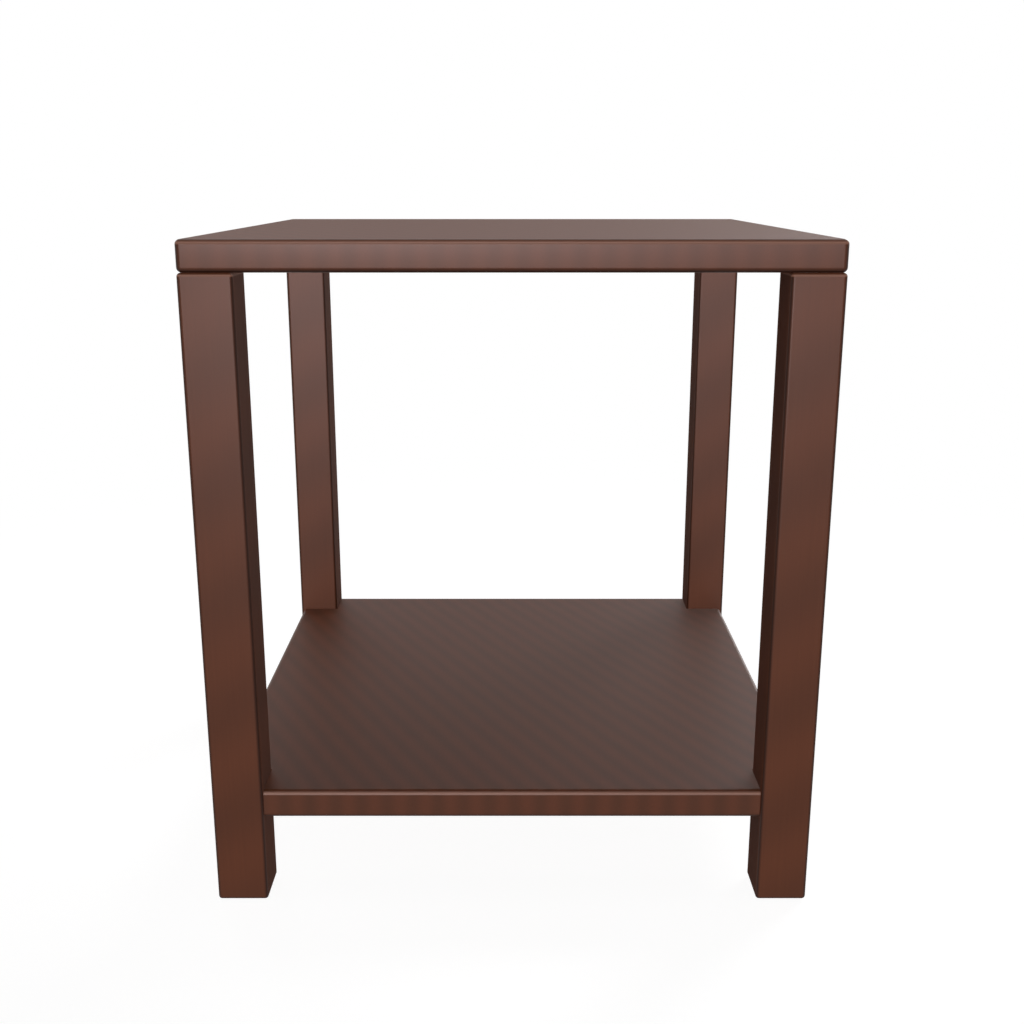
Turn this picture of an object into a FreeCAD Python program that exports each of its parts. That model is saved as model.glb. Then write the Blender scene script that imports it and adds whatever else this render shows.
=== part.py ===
"""Square end table with a low shelf, as a parametric FreeCAD document.

A 25 mm top stands on four square posts whose outer faces are flush with its edges. A shelf of the same
thickness is notched round the posts. Each post screws to the top on a hanger bolt that turns into a threaded
insert, and the shelf's notches then keep it from turning back. Pressed steel brackets under the shelf carry it,
and a nylon glide is let into each foot.

Frame: millimetres, origin on the floor at the centre of the footprint, +Z up, +X to the right and -Y to the
front. Run as a FreeCAD macro it writes one STEP file for each piece to parts/.
"""

import FreeCAD, Part
import os
from enum import IntEnum

import Sketcher

# Driving dimensions in millimetres. Each is one cell of the document's sheet.
SIZES = {
    # Whole table and its boards
    "table_height": 561.0,
    "top_length": 508.0,
    "top_depth": 508.0,
    "top_thickness": 25.0,
    "top_edge_radius": 4.0,
    "leg_side": 43.0,
    "leg_edge_radius": 3.0,
    "shelf_underside_height": 79.0,
    "shelf_thickness": 25.0,
    "shelf_setback": 3.0,
    "shelf_edge_radius": 4.0,
    "notch_clearance": 0.25,
    # Threaded inserts in the top
    "insert_diameter": 12.0,
    "insert_length": 13.0,
    "insert_drive_width": 9.0,
    "insert_drive_depth": 4.0,
    "insert_chamfer": 0.6,
    # Hanger bolts between legs and top
    "bolt_diameter": 8.0,
    "bolt_machine_length": 16.0,
    "bolt_collar_length": 5.0,
    "bolt_wood_diameter": 6.0,
    "bolt_wood_length": 42.0,
    "bolt_tip_length": 6.0,
    "bolt_end_chamfer": 1.0,
    "bolt_drive_width": 4.0,
    "bolt_drive_depth": 5.0,
    # Brackets under the shelf
    "bracket_width": 30.0,
    "bracket_reach": 20.0,
    "bracket_thickness": 2.0,
    "bracket_bend_radius": 1.5,
    "bracket_corner_radius": 4.0,
    "bracket_hole_diameter": 4.5,
    "bracket_hole_spacing": 18.0,
    "bracket_hole_distance": 12.5,
    "rib_reach": 6.0,
    "rib_width": 8.0,
    # Pan-head screws of the brackets
    "screw_core_diameter": 2.8,
    "screw_length": 15.0,
    "screw_tip_length": 3.0,
    "screw_head_diameter": 7.0,
    "screw_head_height": 2.4,
    # Glides in the feet and their countersunk screws
    "glide_diameter": 22.0,
    "glide_thickness": 5.0,
    "glide_recess": 3.0,
    "glide_rim_chamfer": 1.2,
    "glide_screw_core_diameter": 2.6,
    "glide_screw_length": 18.0,
    "glide_screw_tip_length": 3.0,
    "glide_screw_head_diameter": 6.6,
    "glide_screw_head_height": 2.0,
    "glide_screw_sink": 0.8,
    # Room left round and beyond what goes into a bore
    "bore_clearance": 0.1,
    "bore_overrun": 2.0,
}

# Geometry nearer than this to where it is looked for counts as there.
NEAR = 1e-4

LEFT_RIGHT = (("left", -1), ("right", 1))
FRONT_BACK = (("front", -1), ("back", 1))


class Fixed(IntEnum):
    """Sketcher's numbers for what every sketch has. The origin is a point of the horizontal axis."""

    HORIZONTAL_AXIS = -1
    VERTICAL_AXIS = -2


class Point(IntEnum):
    """Sketcher's numbers for the points of a curve."""

    START = 1
    END = 2
    CENTRE = 3


class Length:
    """A length's value together with the sheet expression that gives it, so that both follow one formula."""

    def __init__(self, value, text):
        self.value = value
        self.text = text

    def joined(self, sign, other, value):
        return Length(value, f"({self.text} {sign} {other.text})")

    def __add__(self, other):
        other = as_length(other)
        return self.joined("+", other, self.value + other.value)

    def __sub__(self, other):
        other = as_length(other)
        return self.joined("-", other, self.value - other.value)

    def __mul__(self, other):
        other = as_length(other)
        return self.joined("*", other, self.value * other.value)

    def __truediv__(self, other):
        other = as_length(other)
        return self.joined("/", other, self.value / other.value)

    def __neg__(self):
        return Length(-self.value, f"(-{self.text})")


def as_length(number):
    """Take a Length as it is, and make one of a plain number."""
    if isinstance(number, Length):
        return number
    return Length(float(number), repr(float(number)))


ZERO = as_length(0)


class Sheet:
    """The document's sheet of driving dimensions. Each is read as an attribute, which is a Length."""

    def __init__(self, document, sizes):
        self.cells = document.addObject("Spreadsheet::Sheet", "Sizes")
        for row, (alias, value) in enumerate(sizes.items(), start=1):
            self.cells.set(f"A{row}", alias)
            self.cells.set(f"B{row}", str(value))
            self.cells.setAlias(f"B{row}", alias)
            setattr(self, alias, Length(value, f"Sizes.{alias}"))
        document.recompute()


# Sketches and features


def origin_plane(body, role):
    """Find one of a body's own origin planes by its role."""
    return next(plane for plane in body.Origin.OriginFeatures if plane.Role == role)


def start_sketch(body, name, role, height=ZERO):
    """Start a sketch on an origin plane of the body, moved along the plane's normal by height."""
    sketch = body.newObject("Sketcher::SketchObject", name)
    sketch.AttachmentSupport = [(origin_plane(body, role), "")]
    sketch.MapMode = "FlatFace"
    sketch.setExpression("AttachmentOffset.Base.z", height.text)
    return sketch


def pin_point(sketch, curve, point, across, up):
    """Hold a point of a curve at its distances from the sketch's origin."""
    places = (("DistanceX", Fixed.VERTICAL_AXIS, across), ("DistanceY", Fixed.HORIZONTAL_AXIS, up))
    origin = (Fixed.HORIZONTAL_AXIS, Point.START)
    for kind, axis, length in places:
        if length.value == 0:
            sketch.addConstraint(Sketcher.Constraint("PointOnObject", curve, point, axis))
        else:
            index = sketch.addConstraint(Sketcher.Constraint(kind, *origin, curve, point, length.value))
            sketch.setExpression(f"Constraints[{index}]", length.text)


def draw_outline(sketch, corners):
    """Draw a closed outline of straight lines through corners, each an (across, up) pair of lengths."""
    places = [FreeCAD.Vector(across.value, up.value, 0) for across, up in corners]
    lines = []
    for start, end in zip(places, places[1:] + places[:1]):
        lines.append(sketch.addGeometry(Part.LineSegment(start, end)))
    for line, following in zip(lines, lines[1:] + lines[:1]):
        sketch.addConstraint(Sketcher.Constraint("Coincident", line, Point.END, following, Point.START))
    for line, (across, up) in zip(lines, corners):
        pin_point(sketch, line, Point.START, across, up)


def draw_rectangle(sketch, width, height):
    """Draw a rectangle centred on the sketch's origin."""
    right = width / 2
    top = height / 2
    draw_outline(sketch, [(-right, -top), (right, -top), (right, top), (-right, top)])


def draw_circle(sketch, diameter, across=ZERO, up=ZERO):
    """Draw a circle at its distances from the sketch's origin."""
    centre = FreeCAD.Vector(across.value, up.value, 0)
    circle = sketch.addGeometry(Part.Circle(centre, FreeCAD.Vector(0, 0, 1), diameter.value / 2))
    pin_point(sketch, circle, Point.CENTRE, across, up)
    index = sketch.addConstraint(Sketcher.Constraint("Diameter", circle, diameter.value))
    sketch.setExpression(f"Constraints[{index}]", diameter.text)


def draw_hexagon(sketch, width):
    """Draw a hexagon of a width across its flats, centred on the sketch's origin, with two flats upright."""
    half = width / 2
    side = width / 3**0.5
    draw_outline(
        sketch,
        [
            (half, -side / 2),
            (half, side / 2),
            (ZERO, side),
            (-half, side / 2),
            (-half, -side / 2),
            (ZERO, -side),
        ],
    )


def pad(body, sketch, name, length, symmetric=False):
    """Extrude a sketch along its plane's normal, or half to each side of it."""
    feature = body.newObject("PartDesign::Pad", name)
    feature.Profile = sketch
    feature.setExpression("Length", length.text)
    if symmetric:
        feature.SideType = "Symmetric"
    body.Document.recompute()
    return feature


def pocket(body, sketch, name, depth, along_normal=False, symmetric=False):
    """Cut a sketch into the solid, against its plane's normal unless told otherwise."""
    before = body.Shape.Volume
    feature = body.newObject("PartDesign::Pocket", name)
    feature.Profile = sketch
    feature.Reversed = along_normal
    feature.setExpression("Length", depth.text)
    if symmetric:
        feature.SideType = "Symmetric"
    body.Document.recompute()
    if body.Shape.Volume >= before:
        raise RuntimeError(f"{body.Label}: {name} cuts nothing")
    return feature


def revolve(body, sketch, name):
    """Turn a sketch on the XZ plane all the way round the body's upright axis."""
    feature = body.newObject("PartDesign::Revolution", name)
    feature.Profile = sketch
    feature.ReferenceAxis = (sketch, ["V_Axis"])
    feature.Angle = 360
    body.Document.recompute()
    return feature


def edges_where(shape, wanted):
    """Name the edges of a shape that pass a test."""
    return [f"Edge{number}" for number, edge in enumerate(shape.Edges, start=1) if wanted(edge)]


def round_edges(body, base, name, radius, wanted=None):
    """Round the edges of a feature that pass a test, or all of them."""
    feature = body.newObject("PartDesign::Fillet", name)
    if wanted is None:
        feature.Base = (base, ["Edge1"])
        feature.UseAllEdges = True
    else:
        feature.Base = (base, edges_where(base.Shape, wanted))
    feature.setExpression("Radius", radius.text)
    body.Document.recompute()
    return feature


def chamfer_edges(body, base, name, size, wanted):
    """Chamfer the edges of a feature that pass a test."""
    feature = body.newObject("PartDesign::Chamfer", name)
    feature.Base = (base, edges_where(base.Shape, wanted))
    feature.setExpression("Size", size.text)
    body.Document.recompute()
    return feature


def is_round(edge, radius):
    """Is an edge a circle of this radius?"""
    return isinstance(edge.Curve, Part.Circle) and abs(edge.Curve.Radius - radius.value) < NEAR


def start_body(document, name):
    """Start a sub-part whose label is its node's name."""
    body = document.addObject("PartDesign::Body", name)
    body.Label = name
    return body


def place(body, x, y, z, turned=0, tipped=0):
    """Place a body, tipped about its own X axis and then turned about the upright one, in degrees."""
    turn = FreeCAD.Rotation(FreeCAD.Vector(0, 0, 1), turned)
    tip = FreeCAD.Rotation(FreeCAD.Vector(1, 0, 0), tipped)
    body.Placement = FreeCAD.Placement(FreeCAD.Vector(), turn * tip)
    for axis, length in (("x", x), ("y", y), ("z", z)):
        body.setExpression(f"Placement.Base.{axis}", length.text)


# The table


class Layout:
    """Where the pieces meet, worked out from the driving dimensions."""

    def __init__(self, size):
        self.foot_gap = size.glide_thickness - size.glide_recess
        self.top_underside = size.table_height - size.top_thickness
        self.leg_length = self.top_underside - self.foot_gap
        self.leg_centre_x = (size.top_length - size.leg_side) / 2
        self.leg_centre_y = (size.top_depth - size.leg_side) / 2
        self.shelf_half_length = size.top_length / 2 - size.shelf_setback
        self.shelf_half_depth = size.top_depth / 2 - size.shelf_setback
        self.notch_x = size.top_length / 2 - size.leg_side - size.notch_clearance
        self.notch_y = size.top_depth / 2 - size.leg_side - size.notch_clearance
        self.leg_face_y = size.top_depth / 2 - size.leg_side
        self.screw_reach = size.screw_length - size.bracket_thickness + size.bore_overrun
        self.screw_bore = size.screw_core_diameter + size.bore_clearance * 2
        self.half_spacing = size.bracket_hole_spacing / 2


def corners_of(x, y):
    """The four places at plus and minus x and y."""
    return [(x * side, y * end) for _, end in FRONT_BACK for _, side in LEFT_RIGHT]


def make_top_panel(document, size, layout):
    """The top: a board with rounded edges and a blind bore in its underside above each leg."""
    body = start_body(document, "top_panel")
    outline = start_sketch(body, "TopOutline", "XY_Plane")
    draw_rectangle(outline, size.top_length, size.top_depth)
    board = pad(body, outline, "TopBoard", size.top_thickness)
    round_edges(body, board, "TopEdges", size.top_edge_radius)
    bores = start_sketch(body, "InsertBoreCircles", "XY_Plane")
    bore_diameter = size.insert_diameter + size.bore_clearance * 2
    for x, y in corners_of(layout.leg_centre_x, layout.leg_centre_y):
        draw_circle(bores, bore_diameter, x, y)
    bore_depth = size.bolt_machine_length + size.bore_overrun
    pocket(body, bores, "InsertBores", bore_depth, along_normal=True)
    place(body, ZERO, ZERO, layout.top_underside)
    return body


def make_leg(document, size, layout, name):
    """A leg: a square post, bored for its hanger bolt, its bracket's screws and its glide.

    Its own origin is at the centre of its foot, and the bracket goes on its +Y face.
    """
    body = start_body(document, name)
    outline = start_sketch(body, "LegOutline", "XY_Plane")
    draw_rectangle(outline, size.leg_side, size.leg_side)
    post = pad(body, outline, "Post", layout.leg_length)
    round_edges(body, post, "LegEdges", size.leg_edge_radius)

    collar = start_sketch(body, "CollarBoreCircle", "XY_Plane", layout.leg_length)
    draw_circle(collar, size.bolt_diameter + size.bore_clearance * 2)
    pocket(body, collar, "CollarBore", size.bolt_collar_length)
    bolt = start_sketch(body, "BoltBoreCircle", "XY_Plane", layout.leg_length)
    draw_circle(bolt, size.bolt_wood_diameter + size.bore_clearance * 2)
    bolt_depth = size.bolt_collar_length + size.bolt_wood_length + size.bore_overrun
    pocket(body, bolt, "BoltBore", bolt_depth)

    recess = start_sketch(body, "GlideRecessCircle", "XY_Plane")
    draw_circle(recess, size.glide_diameter + size.bore_clearance * 2)
    pocket(body, recess, "GlideRecess", size.glide_recess, along_normal=True)
    pilot = start_sketch(body, "GlidePilotCircle", "XY_Plane")
    draw_circle(pilot, size.glide_screw_core_diameter + size.bore_clearance * 2)
    pilot_depth = size.glide_screw_sink + size.glide_screw_length - layout.foot_gap + size.bore_overrun
    pocket(body, pilot, "GlidePilot", pilot_depth, along_normal=True)

    screws = start_sketch(body, "BracketPilotCircles", "XZ_Plane", -size.leg_side / 2)
    screw_height = size.shelf_underside_height - layout.foot_gap - size.bracket_hole_distance
    for across in (-layout.half_spacing, layout.half_spacing):
        draw_circle(screws, layout.screw_bore, across, screw_height)
    pocket(body, screws, "BracketPilots", layout.screw_reach, along_normal=True)
    return body


def make_shelf_panel(document, size, layout):
    """The shelf: a board notched round the legs, rounded on its outer edges, with pilot holes underneath."""
    body = start_body(document, "shelf_panel")
    outline = start_sketch(body, "ShelfOutline", "XY_Plane")
    long_x = layout.shelf_half_length
    long_y = layout.shelf_half_depth
    notch_x = layout.notch_x
    notch_y = layout.notch_y
    quarter = [(long_x, notch_y), (notch_x, notch_y), (notch_x, long_y)]
    corners = list(quarter)
    corners += [(-x, y) for x, y in reversed(quarter)]
    corners += [(-x, -y) for x, y in quarter]
    corners += [(x, -y) for x, y in reversed(quarter)]
    draw_outline(outline, corners)
    board = pad(body, outline, "ShelfBoard", size.shelf_thickness)

    def on_outer_edge(edge):
        """Is this a level edge along one of the shelf's four outer sides?"""
        middle = edge.CenterOfMass
        level = edge.BoundBox.ZLength < NEAR
        on_side = abs(abs(middle.x) - long_x.value) < NEAR or abs(abs(middle.y) - long_y.value) < NEAR
        return level and on_side

    round_edges(body, board, "ShelfEdges", size.shelf_edge_radius, on_outer_edge)
    screws = start_sketch(body, "BracketPilotCircles", "XY_Plane")
    row_y = layout.leg_face_y - size.bracket_hole_distance
    for x, y in corners_of(layout.leg_centre_x, row_y):
        for offset in (-layout.half_spacing, layout.half_spacing):
            draw_circle(screws, layout.screw_bore, x + offset, y)
    pocket(body, screws, "BracketPilots", layout.screw_reach, along_normal=True)
    place(body, ZERO, ZERO, size.shelf_underside_height)
    return body


def make_threaded_insert(document, size, name):
    """A threaded insert, with its mouth at its own origin and a hexagon there for the key that drives it."""
    body = start_body(document, name)
    ring = start_sketch(body, "InsertRing", "XY_Plane")
    bore_diameter = size.bolt_diameter + size.bore_clearance * 2
    draw_circle(ring, size.insert_diameter)
    draw_circle(ring, bore_diameter)
    sleeve = pad(body, ring, "InsertSleeve", size.insert_length)
    outer_radius = size.insert_diameter / 2
    chamfer_edges(
        body, sleeve, "InsertEnds", size.insert_chamfer, lambda edge: is_round(edge, outer_radius)
    )
    drive = start_sketch(body, "InsertDriveHexagon", "XY_Plane")
    draw_hexagon(drive, size.insert_drive_width)
    pocket(body, drive, "InsertDrive", size.insert_drive_depth, along_normal=True)
    return body


def make_hanger_bolt(document, size, name):
    """A hanger bolt: its own origin is where leg and top meet, with the machine end above and the wood end below."""
    body = start_body(document, name)
    outline = start_sketch(body, "BoltOutline", "XZ_Plane")
    radius = size.bolt_diameter / 2
    wood_radius = size.bolt_wood_diameter / 2
    tip = -(size.bolt_collar_length + size.bolt_wood_length)
    draw_outline(
        outline,
        [
            (ZERO, tip),
            (wood_radius, tip + size.bolt_tip_length),
            (wood_radius, -size.bolt_collar_length),
            (radius, -size.bolt_collar_length),
            (radius, size.bolt_machine_length - size.bolt_end_chamfer),
            (radius - size.bolt_end_chamfer, size.bolt_machine_length),
            (ZERO, size.bolt_machine_length),
        ],
    )
    revolve(body, outline, "BoltBlank")
    drive = start_sketch(body, "BoltDriveHexagon", "XY_Plane", size.bolt_machine_length)
    draw_hexagon(drive, size.bolt_drive_width)
    pocket(body, drive, "BoltDrive", size.bolt_drive_depth)
    return body


def make_shelf_bracket(document, size, layout, name):
    """A bracket pressed from steel strip: two flanges, a bend and a hollow rib that stiffens it.

    Its own origin is in the corner between the leg's face, at y = 0, and the shelf's underside, at z = 0.
    """
    body = start_body(document, name)
    reach = size.bracket_reach
    thickness = size.bracket_thickness
    outline = start_sketch(body, "BracketOutline", "YZ_Plane")
    draw_outline(
        outline,
        [
            (ZERO, ZERO),
            (ZERO, -reach),
            (thickness, -reach),
            (thickness, -thickness),
            (reach, -thickness),
            (reach, ZERO),
        ],
    )
    strip = pad(body, outline, "BracketStrip", size.bracket_width, symmetric=True)

    def along_bend(y, z):
        """A test for the edge that runs along the bend at this place."""
        def wanted(edge):
            middle = edge.CenterOfMass
            return abs(middle.y - y) < NEAR and abs(middle.z - z) < NEAR

        return wanted

    inner = round_edges(
        body, strip, "BendInside", size.bracket_bend_radius, along_bend(thickness.value, -thickness.value)
    )
    bend = round_edges(body, inner, "BendOutside", size.bracket_bend_radius + thickness, along_bend(0, 0))

    def flange_corner(edge):
        """Is this one of the short edges through the steel at a flange's free corners?"""
        middle = edge.CenterOfMass
        free_end = abs(middle.y - reach.value) < NEAR or abs(middle.z + reach.value) < NEAR
        return free_end and abs(edge.Length - thickness.value) < NEAR

    round_edges(body, bend, "FlangeCorners", size.bracket_corner_radius, flange_corner)

    rib = start_sketch(body, "RibOutline", "YZ_Plane")
    rib_end = thickness + size.rib_reach
    draw_outline(rib, [(thickness, -thickness), (thickness, -rib_end), (rib_end, -thickness)])
    ridge = pad(body, rib, "Rib", size.rib_width, symmetric=True)

    def rib_crest(edge):
        """Is this one of the two sloping edges along the rib's crest?"""
        middle = edge.CenterOfMass
        sloping = edge.BoundBox.YLength > NEAR and edge.BoundBox.ZLength > NEAR
        on_side = abs(abs(middle.x) - size.rib_width.value / 2) < NEAR
        return sloping and on_side and abs(middle.y - middle.z - (thickness + rib_end).value) < NEAR

    round_edges(body, ridge, "RibCrest", size.rib_width / 2 - thickness / 4, rib_crest)
    dent = start_sketch(body, "DentOutline", "YZ_Plane")
    dent_reach = thickness + rib_end - thickness * 2**0.5
    draw_outline(dent, [(ZERO, ZERO), (ZERO, -dent_reach), (dent_reach, ZERO)])
    pocket(body, dent, "Dent", size.rib_width - thickness * 2, symmetric=True)

    leg_holes = start_sketch(body, "LegHoleCircles", "XZ_Plane")
    shelf_holes = start_sketch(body, "ShelfHoleCircles", "XY_Plane")
    for across in (-layout.half_spacing, layout.half_spacing):
        draw_circle(leg_holes, size.bracket_hole_diameter, across, -size.bracket_hole_distance)
        draw_circle(shelf_holes, size.bracket_hole_diameter, across, size.bracket_hole_distance)
    pocket(body, leg_holes, "LegHoles", thickness)
    pocket(body, shelf_holes, "ShelfHoles", thickness)
    return body


def make_screw_pair(document, size, layout, name):
    """Two pan-head screws side by side, pointing up, with the seats of their heads at z = 0."""
    body = start_body(document, name)
    outline = start_sketch(body, "ScrewOutline", "XZ_Plane")
    radius = size.screw_core_diameter / 2
    head_radius = size.screw_head_diameter / 2
    draw_outline(
        outline,
        [
            (ZERO, -size.screw_head_height),
            (head_radius, -size.screw_head_height),
            (head_radius, ZERO),
            (radius, ZERO),
            (radius, size.screw_length - size.screw_tip_length),
            (ZERO, size.screw_length),
        ],
    )
    outline.setExpression("AttachmentOffset.Base.x", (-layout.half_spacing).text)
    blank = revolve(body, outline, "ScrewBlank")
    pair = body.newObject("PartDesign::Mirrored", "Pair")
    pair.Originals = [blank]
    pair.MirrorPlane = (origin_plane(body, "YZ_Plane"), [""])
    body.Tip = pair
    document.recompute()
    return body


def make_glide(document, size, name):
    """A glide: a nylon disc with a chamfered lower rim and a countersunk hole, standing on its own origin."""
    body = start_body(document, name)
    outline = start_sketch(body, "GlideOutline", "XZ_Plane")
    hole_radius = size.glide_screw_core_diameter / 2 + size.bore_clearance
    head_radius = size.glide_screw_head_diameter / 2 + size.bore_clearance
    head_end = size.glide_screw_sink + size.glide_screw_head_height
    rim = size.glide_diameter / 2
    draw_outline(
        outline,
        [
            (head_radius, ZERO),
            (rim - size.glide_rim_chamfer, ZERO),
            (rim, size.glide_rim_chamfer),
            (rim, size.glide_thickness),
            (hole_radius, size.glide_thickness),
            (hole_radius, head_end),
            (head_radius, size.glide_screw_sink),
        ],
    )
    revolve(body, outline, "GlideDisc")
    return body


def make_glide_screw(document, size, name):
    """A countersunk screw, pointing up, with the flat of its head at its own origin."""
    body = start_body(document, name)
    outline = start_sketch(body, "GlideScrewOutline", "XZ_Plane")
    radius = size.glide_screw_core_diameter / 2
    draw_outline(
        outline,
        [
            (ZERO, ZERO),
            (size.glide_screw_head_diameter / 2, ZERO),
            (radius, size.glide_screw_head_height),
            (radius, size.glide_screw_length - size.glide_screw_tip_length),
            (ZERO, size.glide_screw_length),
        ],
    )
    revolve(body, outline, "GlideScrewBlank")
    return body


def make_corner(document, size, layout, corner, side, end):
    """All the pieces of one corner. side is -1 at the left, and end is -1 at the front."""
    turned = 0 if end < 0 else 180
    x = layout.leg_centre_x * side
    y = layout.leg_centre_y * end
    face_y = layout.leg_face_y * end
    screw_row_y = (layout.leg_face_y - size.bracket_hole_distance) * end
    head_seat_y = (layout.leg_face_y - size.bracket_thickness) * end
    shelf_z = size.shelf_underside_height

    leg = make_leg(document, size, layout, f"{corner}_leg")
    place(leg, x, y, layout.foot_gap, turned)
    insert = make_threaded_insert(document, size, f"{corner}_threaded_insert")
    place(insert, x, y, layout.top_underside)
    bolt = make_hanger_bolt(document, size, f"{corner}_hanger_bolt")
    place(bolt, x, y, layout.top_underside)
    bracket = make_shelf_bracket(document, size, layout, f"{corner}_shelf_bracket")
    place(bracket, x, face_y, shelf_z, turned)
    shelf_screws = make_screw_pair(document, size, layout, f"{corner}_shelf_screws")
    place(shelf_screws, x, screw_row_y, shelf_z - size.bracket_thickness)
    leg_screws = make_screw_pair(document, size, layout, f"{corner}_leg_screws")
    place(leg_screws, x, head_seat_y, shelf_z - size.bracket_hole_distance, turned, tipped=90)
    glide = make_glide(document, size, f"{corner}_glide")
    place(glide, x, y, ZERO)
    glide_screw = make_glide_screw(document, size, f"{corner}_glide_screw")
    place(glide_screw, x, y, size.glide_screw_sink)
    return [leg, insert, bolt, bracket, shelf_screws, leg_screws, glide, glide_screw]


def check(document, bodies):
    """Stop if any object failed to compute or any sub-part's shape isn't sound."""
    for item in document.Objects:
        if "Invalid" in item.State or "Error" in item.State:
            raise RuntimeError(f"{item.Name} failed: {item.State}")
    for body in bodies:
        if body.Shape.isNull() or not body.Shape.isValid() or not body.Shape.Solids:
            raise RuntimeError(f"{body.Label} has no sound shape")


def main():
    document = FreeCAD.newDocument("EndTable")
    size = Sheet(document, SIZES)
    layout = Layout(size)
    bodies = [make_top_panel(document, size, layout), make_shelf_panel(document, size, layout)]
    for end_name, end in FRONT_BACK:
        for side_name, side in LEFT_RIGHT:
            bodies += make_corner(document, size, layout, f"{end_name}_{side_name}", side, end)
    document.recompute()
    check(document, bodies)
    os.makedirs("parts", exist_ok=True)
    for body in bodies:
        body.Shape.exportStep(f"parts/{body.Label}.step")
        print(f"{body.Label}: {len(body.Shape.Solids)} solid, {body.Shape.Volume / 1000:.2f} cm3")


main()
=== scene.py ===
"""Looks of a knock-down end table: a square top on four square posts, with a notched shelf low between them.

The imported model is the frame. Boards, posts and brackets keep its meshes and get their finishes here. Screws,
hanger bolts, inserts and glides are modelled anew, with threads, drive recesses and moulded rims.
"""

import logging
import math
from collections.abc import Sequence
from dataclasses import dataclass, field, replace
from enum import Enum
from typing import Any

import bmesh
import bpy
from mathutils import Euler, Matrix, Vector


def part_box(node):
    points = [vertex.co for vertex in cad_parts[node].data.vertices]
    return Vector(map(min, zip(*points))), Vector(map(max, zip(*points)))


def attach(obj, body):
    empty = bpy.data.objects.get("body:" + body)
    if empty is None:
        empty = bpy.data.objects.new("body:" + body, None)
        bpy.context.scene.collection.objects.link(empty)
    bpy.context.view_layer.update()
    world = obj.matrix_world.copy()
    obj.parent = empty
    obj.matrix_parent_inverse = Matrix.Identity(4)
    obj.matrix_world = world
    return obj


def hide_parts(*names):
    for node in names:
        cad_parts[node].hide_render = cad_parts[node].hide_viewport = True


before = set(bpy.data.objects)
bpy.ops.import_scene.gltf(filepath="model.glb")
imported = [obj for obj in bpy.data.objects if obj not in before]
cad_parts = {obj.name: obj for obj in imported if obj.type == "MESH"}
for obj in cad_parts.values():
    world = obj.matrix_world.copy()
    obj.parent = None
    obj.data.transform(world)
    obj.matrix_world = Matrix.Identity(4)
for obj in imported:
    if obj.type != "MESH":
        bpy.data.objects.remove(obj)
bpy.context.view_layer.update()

MM = 0.001
BODY = "root"
LOG = logging.getLogger("end_table")

# Points of a mesh that lie nearer to each other than this, in millimetres, are one point.
WELD_DISTANCE = 0.001
# At a scale of one, a band texture repeats every so many units.
BAND_CYCLE = math.tau / 20
# A noise texture hardly leaves this range.
NOISE_RANGE = (0.25, 0.75)
# A cross recess narrows towards its bottom to these shares of its length, width and depth.
CROSS_TAPER = (0.45, 0.75, 1.0)

Outline = Sequence[tuple[float, float]]


class Slot(Enum):
    """Names of two material slots, for the zinc-plated and the nylon pieces. Nothing here uses them."""

    ZINC = "zinc_plated_steel"
    NYLON = "nylon"


class Corner(Enum):
    """The four corners, each with its sign along X and along Y."""

    FRONT_LEFT = (-1, -1)
    FRONT_RIGHT = (1, -1)
    BACK_LEFT = (-1, 1)
    BACK_RIGHT = (1, 1)

    def node(self, piece: str) -> str:
        """Name of a piece of this corner in the frame."""
        return f"{self.name.lower()}_{piece}"


def linear(hex_colour: str) -> tuple[float, float, float, float]:
    """Turns an sRGB hex colour into the linear colour that shaders take.

    Args:
        hex_colour: a colour such as "#4D2414".

    Returns:
        Red, green, blue and an alpha of one.
    """
    shares = [int(hex_colour[place : place + 2], 16) / 255 for place in (1, 3, 5)]
    red, green, blue = (s / 12.92 if s <= 0.04045 else ((s + 0.055) / 1.055) ** 2.4 for s in shares)
    return red, green, blue, 1.0


def add_node(
    tree: bpy.types.NodeTree,
    kind: str,
    settings: dict[str | int, Any] | None = None,
    links: dict[str | int, bpy.types.NodeSocket] | None = None,
) -> bpy.types.Node:
    """Adds one node with its settings and its links.

    Args:
        tree: the node tree that gets the node.
        kind: the node's type, without the leading "ShaderNode".
        settings: values by property, or by input name or number.
        links: the outputs that feed the node, by input name or number.

    Returns:
        The new node.
    """
    node = tree.nodes.new("ShaderNode" + kind)
    for name, value in (settings or {}).items():
        if isinstance(name, str) and name in node.bl_rna.properties:
            setattr(node, name, value)
        else:
            node.inputs[name].default_value = value
    for name, source in (links or {}).items():
        tree.links.new(source, node.inputs[name])
    return node


def new_tree(material_name: str) -> tuple[bpy.types.Material, bpy.types.NodeTree, bpy.types.NodeSocket]:
    """Makes an empty material.

    Args:
        material_name: its name.

    Returns:
        The material, its emptied node tree and an output of the object's own coordinates in millimetres.
    """
    material = bpy.data.materials.new(material_name)
    material.use_nodes = True
    tree = material.node_tree
    tree.nodes.clear()
    place = add_node(tree, "TexCoord")
    to_mm = (1 / MM, 1 / MM, 1 / MM)
    in_mm = add_node(tree, "Mapping", {"Scale": to_mm}, {"Vector": place.outputs["Object"]})
    return material, tree, in_mm.outputs["Vector"]


class Figure(Enum):
    """Which way the broad figure of a board runs, as a turn of the pattern in degrees."""

    DIAGONAL_RIBBON = (0.0, 0.0, -28.5)
    LEANING_CLOUDS = (0.0, 121.1, 0.0)


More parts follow.
